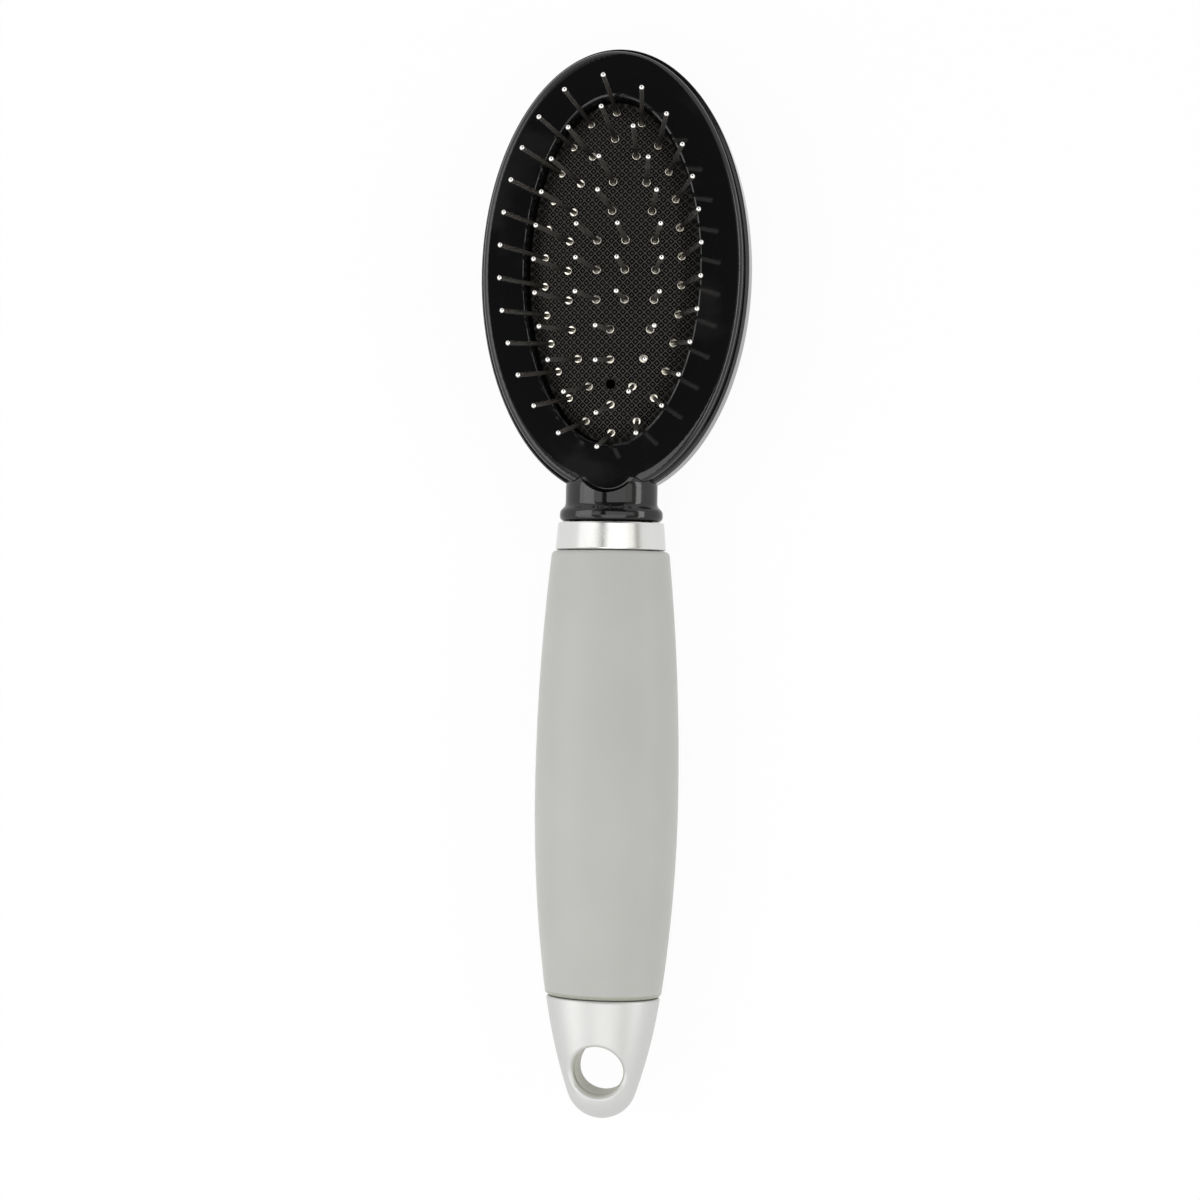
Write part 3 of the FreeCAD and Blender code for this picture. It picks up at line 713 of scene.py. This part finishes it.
def whole_diamonds(mesh, settings, dome):
    """The faces of the dome's top in diamonds that neither the rim nor a hole cuts."""
    diamonds = defaultdict(list)
    for face in mesh.polygons:
        number = mesh.attributes["diamond"].data[face.index].value
        on_top = abs(face.center.z - dome.height(face.center)) < settings.wall * TOP_SHARE
        if number and on_top and dome.reach(face.center) < 1:
            diamonds[number].append(face.index)
    full_area = diamond_face_side(settings) ** 2
    least = full_area * settings.whole_share
    most = full_area / settings.whole_share
    whole = []
    for faces in diamonds.values():
        if len(faces) == DIAMOND_FACES and all(least < mesh.polygons[face].area < most for face in faces):
            whole.extend(faces)
    return whole


def shape_diamonds(pad, settings, dome):
    """Sinks each whole diamond between its threads, raises a nub in it, and marks threads and nubs. Faces
    left unmarked, in the grooves and on the flange, take the painted shade of the grooves.
    """
    mesh = pad.data
    choose(pad, "FACE", whole_diamonds(mesh, settings, dome))
    bpy.ops.mesh.inset(thickness=settings.groove_width, depth=-settings.groove_depth)
    bpy.ops.mesh.inset(thickness=settings.nub_slope, depth=settings.nub_rise)
    bpy.ops.object.mode_set(mode="OBJECT")
    tops = [face.select for face in mesh.polygons]
    thread = mesh.attributes.new("thread", "FLOAT", "FACE")
    nub = mesh.attributes.new("nub", "FLOAT", "FACE")
    numbers = mesh.attributes["diamond"].data
    for face in mesh.polygons:
        depth = dome.height(face.center) - face.center.z
        # Faces beyond the dome's foot, on the flange, stay unmarked and so take the painted groove shade
        level = abs(depth) < settings.groove_depth * LEVEL_SHARE and dome.reach(face.center) < 1
        cut = level and numbers[face.index].value > 0
        thread.data[face.index].value = float(level and not cut and not tops[face.index])
        nub.data[face.index].value = 1 if tops[face.index] else cut * settings.cut_tone


class BRUSH_OT_weave_cushion(bpy.types.Operator):
    """Models the woven air cushion that the pins stand in"""

    bl_idname = "brush.weave_cushion"
    bl_label = "Weave Cushion"

    def execute(self, context):
        settings = context.scene.brush_cushion
        dome = Dome(settings)
        holes = [(foot, settings.pin_hole / 2) for foot in pin_feet(settings)]
        vent = dome.middle - Vector((0, settings.vent_offset, 0))
        holes.append((vent, settings.vent_hole / 2))
        pad = lay_weave(settings, dome)
        trim_weave(pad, settings, dome, holes)
        add_flange(pad, settings, dome)
        shape_diamonds(pad, settings, dome)
        bpy.ops.object.shade_smooth_by_angle(angle=settings.smooth_angle)
        pad.data.materials.append(woven_rubber(settings))
        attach(pad, "brush_body")
        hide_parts("cushion")
        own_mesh(pad)
        return {"FINISHED"}


class BRUSH_OT_finish_head(bpy.types.Operator):
    """Gives the back shell and the bezel their black gloss"""

    bl_idname = "brush.finish_head"
    bl_label = "Finish Head"

    def execute(self, context):
        wear_finish(("head_back_shell", "head_bezel"), gloss_black(context.scene.brush_head))
        return {"FINISHED"}


class BRUSH_OT_finish_handle(bpy.types.Operator):
    """Gives the grip, its core, the collar and the tail cap their finishes"""

    bl_idname = "brush.finish_handle"
    bl_label = "Finish Handle"

    def execute(self, context):
        settings = context.scene.brush_handle
        wear_finish(("grip_sleeve",), frosted_gel(settings))
        wear_finish(("handle_core",), core_plastic(settings))
        wear_finish(("neck_collar",), satin_chrome(settings))
        wear_finish(("tail_cap",), pearl_silver(settings))
        return {"FINISHED"}


class BRUSH_OT_finish_pins(bpy.types.Operator):
    """Gives the pins their steel: drawn on the shanks, smoother with a painted highlight on the up-facing
    tips and collars, and painted shade on the feet
    """

    bl_idname = "brush.finish_pins"
    bl_label = "Finish Pins"

    def execute(self, context):
        wear_finish(PIN_NODES, pin_steel(context.scene.brush_pins))
        return {"FINISHED"}


# The stage: floor, surroundings, lamps and camera

def seen_rays(finish):
    """One for rays that show the surroundings, nought for those that only light."""
    kinds = ("Is Camera Ray", "Is Glossy Ray", "Is Transmission Ray")
    camera, glossy, transmission = (finish.node("ShaderNodeLightPath", output=kind) for kind in kinds)
    return finish.node("ShaderNodeClamp", None, {"Value": camera + glossy + transmission})


def white_floor(settings):
    finish = new_finish("white_floor")
    grain = finish.grain(scale=20, detail=3)
    patches = [value * settings.floor_tone for value in settings.floor_colour]
    paint = finish.mix(grain, rgba(settings.floor_colour), rgba(patches))
    matte = finish.node("ShaderNodeBsdfDiffuse", None, {"Color": paint})
    white = finish.node("ShaderNodeEmission", None, {"Color": WHITE, "Strength": 1})
    glow = seen_rays(finish) * settings.floor_glow
    shown = finish.node("ShaderNodeMixShader", None, {0: glow, 1: matte, 2: white})
    finish.node("ShaderNodeOutputMaterial", None, {"Surface": shown})
    return finish.owner


def light_world(settings):
    world = bpy.data.worlds.new("studio")
    bpy.context.scene.world = world
    finish = Finish(world)
    fill = finish.node("ShaderNodeBackground", None, {"Color": WHITE, "Strength": settings.fill_light})
    white = finish.node("ShaderNodeBackground", None, {"Color": WHITE, "Strength": 1})
    shown = finish.node("ShaderNodeMixShader", None, {0: seen_rays(finish), 1: fill, 2: white})
    finish.node("ShaderNodeOutputWorld", None, {"Surface": shown})


class Overhead(NamedTuple):
    """A flat rectangle of the lighting rig, in metres, and how bright it looks."""

    name: str
    left: float
    right: float
    near: float
    far: float
    level: tuple

    def middle(self, height):
        return ((self.left + self.right) / 2, (self.near + self.far) / 2, height)

    def width(self):
        return self.right - self.left

    def depth(self):
        return self.far - self.near


SOFT_BOXES = (
    Overhead("tail_box", left=-0.17, right=0.29, near=-0.60, far=-0.02, level=(1.0, 1.0, 0.99)),
    Overhead("left_box", left=-1.30, right=-0.375, near=-0.70, far=0.50, level=(1.4, 1.4, 1.39)),
    Overhead("right_box", left=0.74, right=1.30, near=-0.60, far=0.60, level=(2.7, 2.7, 2.7)),
)
NECK_BOXES = (
    Overhead("neck_far_box", left=-0.80, right=-0.375, near=-0.02, far=0.30, level=(0.36, 0.36, 0.36)),
    Overhead("neck_left_box", left=-0.375, right=-0.17, near=-0.02, far=0.22, level=(0.95, 0.95, 0.94)),
    Overhead("neck_top_box", left=-0.085, right=0.29, near=-0.02, far=0.22, level=(1.3, 1.3, 1.29)),
    Overhead("neck_right_box", left=0.29, right=0.50, near=-0.02, far=0.22, level=(0.8, 0.8, 0.79)),
)
CARDS = (
    Overhead("head_flag", left=-0.20, right=0.29, near=-0.02, far=1.8, level=(0, 0, 0)),
    Overhead("gap_card", left=-0.375, right=-0.20, near=-0.70, far=1.8, level=(0.42, 0.42, 0.41)),
    Overhead("side_card", left=0.29, right=0.74, near=-0.60, far=0.60, level=(0.42, 0.40, 0.36)),
)


def add_soft_box(panel, settings, height):
    lamp = bpy.data.lights.new(panel.name, "AREA")
    lamp.shape = "RECTANGLE"
    lamp.size = panel.width()
    lamp.size_y = panel.depth()
    brightest = max(panel.level)
    lamp.color = [value / brightest for value in panel.level]
    lamp.energy = settings.watts_per_area * panel.width() * panel.depth() * brightest
    item = bpy.data.objects.new(panel.name, lamp)
    item.location = panel.middle(height)
    bpy.context.scene.collection.objects.link(item)
    return item


def add_neck_boxes(settings):
    """Soft boxes just under the flag that light only the collar and the back shell with its neck."""
    lit = bpy.data.collections.new("lit_by_neck_boxes")
    for name in ("neck_collar", "head_back_shell"):
        lit.objects.link(frame["nodes"][name])
    for panel in NECK_BOXES:
        box = add_soft_box(panel, settings, settings.rig_height - settings.rig_gap)
        box.light_linking.receiver_collection = lit


def keep_off_collar(box):
    """Lets a soft box light all but the collar, which has boxes of its own."""
    unlit = bpy.data.collections.new("unlit_by_" + box.name)
    unlit.objects.link(frame["nodes"]["neck_collar"])
    box.light_linking.receiver_collection = unlit
    unlit.collection_objects[0].light_linking.link_state = "EXCLUDE"


def add_card(panel, height):
    """A card that only shows in what mirrors it."""
    bpy.ops.mesh.primitive_plane_add(size=1, location=panel.middle(height))
    card = bpy.context.object
    card.name = panel.name
    card.scale = (panel.width(), panel.depth(), 1)
    bpy.ops.object.transform_apply(location=True, rotation=True, scale=True)
    finish = new_finish(panel.name)
    shade = finish.node("ShaderNodeEmission", None, {"Color": rgba(panel.level), "Strength": 1})
    finish.node("ShaderNodeOutputMaterial", None, {"Surface": shade})
    card.data.materials.append(finish.owner)
    card.visible_camera = False
    card.visible_diffuse = False
    card.visible_transmission = False
    card.visible_volume_scatter = False
    card.visible_shadow = False


def add_camera(settings):
    view = bpy.data.cameras.new("camera")
    view.lens = settings.lens
    view.sensor_width = settings.sensor
    camera = bpy.data.objects.new("camera", view)
    camera.rotation_mode = "ZYX"
    camera.rotation_euler = settings.camera_turn
    camera.location = settings.camera_place
    bpy.context.scene.collection.objects.link(camera)
    bpy.context.scene.camera = camera


class BRUSH_OT_set_stage(bpy.types.Operator):
    """Sets the floor, the surroundings, the lamps and the camera"""

    bl_idname = "brush.set_stage"
    bl_label = "Set Stage"

    def execute(self, context):
        settings = context.scene.brush_stage
        bpy.ops.object.select_all(action="DESELECT")
        bpy.ops.mesh.primitive_plane_add(size=settings.floor_size, location=(0, 0, -settings.floor_gap))
        floor = context.object
        floor.name = "floor"
        bpy.ops.object.transform_apply(location=True, rotation=True, scale=True)
        floor.data.materials.append(white_floor(settings))
        light_world(settings)
        for panel in SOFT_BOXES:
            box = add_soft_box(panel, settings, settings.rig_height)
            if panel.name != "tail_box":
                keep_off_collar(box)
        add_neck_boxes(settings)
        for panel in CARDS:
            add_card(panel, settings.rig_height)
        add_camera(settings)
        context.scene.view_settings.view_transform = "Standard"
        return {"FINISHED"}


class BRUSH_PT_sidebar(bpy.types.Panel):
    """Lists each step's button with its settings"""

    bl_idname = "BRUSH_PT_sidebar"
    bl_label = "Brush"
    bl_space_type = "VIEW_3D"
    bl_region_type = "UI"
    bl_category = "Brush"

    def draw(self, context):
        for operator, group in STEPS:
            box = self.layout.box()
            box.operator(operator.bl_idname)
            settings = getattr(context.scene, group)
            for name in settings.bl_rna.properties.keys():
                if name not in ("rna_type", "name"):
                    box.prop(settings, name)


GROUPS = {
    "brush_cushion": BrushCushionSettings,
    "brush_head": BrushHeadSettings,
    "brush_handle": BrushHandleSettings,
    "brush_pins": BrushPinSettings,
    "brush_stage": BrushStageSettings,
}
STEPS = (
    (BRUSH_OT_weave_cushion, "brush_cushion"),
    (BRUSH_OT_finish_head, "brush_head"),
    (BRUSH_OT_finish_handle, "brush_handle"),
    (BRUSH_OT_finish_pins, "brush_pins"),
    (BRUSH_OT_set_stage, "brush_stage"),
)
CLASSES = (*GROUPS.values(), *(operator for operator, group in STEPS), BRUSH_PT_sidebar)


def register():
    for item in CLASSES:
        bpy.utils.register_class(item)
    for name, group in GROUPS.items():
        setattr(bpy.types.Scene, name, PointerProperty(type=group))


def unregister():
    for name in GROUPS:
        delattr(bpy.types.Scene, name)
    for item in reversed(CLASSES):
        bpy.utils.unregister_class(item)


def main():
    register()
    bpy.ops.brush.weave_cushion()
    bpy.ops.brush.finish_head()
    bpy.ops.brush.finish_handle()
    bpy.ops.brush.finish_pins()
    bpy.ops.brush.set_stage()


if __name__ == "__main__":
    main()
